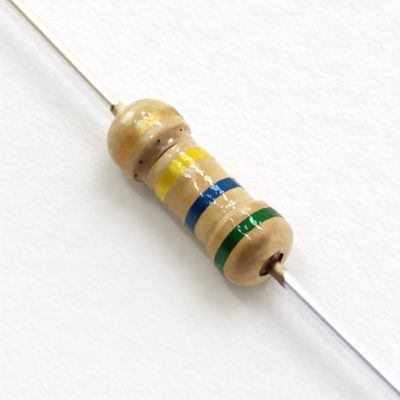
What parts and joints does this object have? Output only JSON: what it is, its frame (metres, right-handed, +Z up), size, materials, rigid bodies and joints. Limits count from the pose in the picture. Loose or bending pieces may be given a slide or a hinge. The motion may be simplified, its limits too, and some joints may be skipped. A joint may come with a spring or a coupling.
{
  "type": "axial resistor",
  "caption": "Axial carbon-film resistor with a glossy dog-bone coat, colour bands and a slightly bent tinned wire lead at each end.",
  "frame": {"origin": "the middle of the footprint, on the surface that the resistor lies on", "axes": "+X along the body from the gold tolerance band towards the green first band, +Z up, and the leads bend down and slightly towards +Y"},
  "size_m": [0.065, 0.0034, 0.0033],
  "materials": {
    "ceramic": "matt white alumina rod",
    "carbon_film": "thin dark grey carbon film",
    "plated_cap": "tin-plated pressed steel, satin",
    "tinned_wire": "bright tinned copper wire",
    "lacquer": "glossy, slightly translucent beige lacquer, uneven",
    "green_paint": "glossy green ink",
    "blue_paint": "glossy deep blue ink",
    "yellow_paint": "glossy yellow ink",
    "gold_paint": "metallic gold ink, mottled, with ragged edges"
  },
  "bodies": {
    "root": {"ceramic_core": "ceramic", "carbon_film": "carbon_film", "end_cap_front": "plated_cap", "end_cap_rear": "plated_cap", "lead_front": "tinned_wire", "lead_rear": "tinned_wire", "lacquer_coat": "lacquer", "band_green": "green_paint", "band_blue": "blue_paint", "band_yellow": "yellow_paint", "band_gold": "gold_paint"}
  },
  "joints": []
}
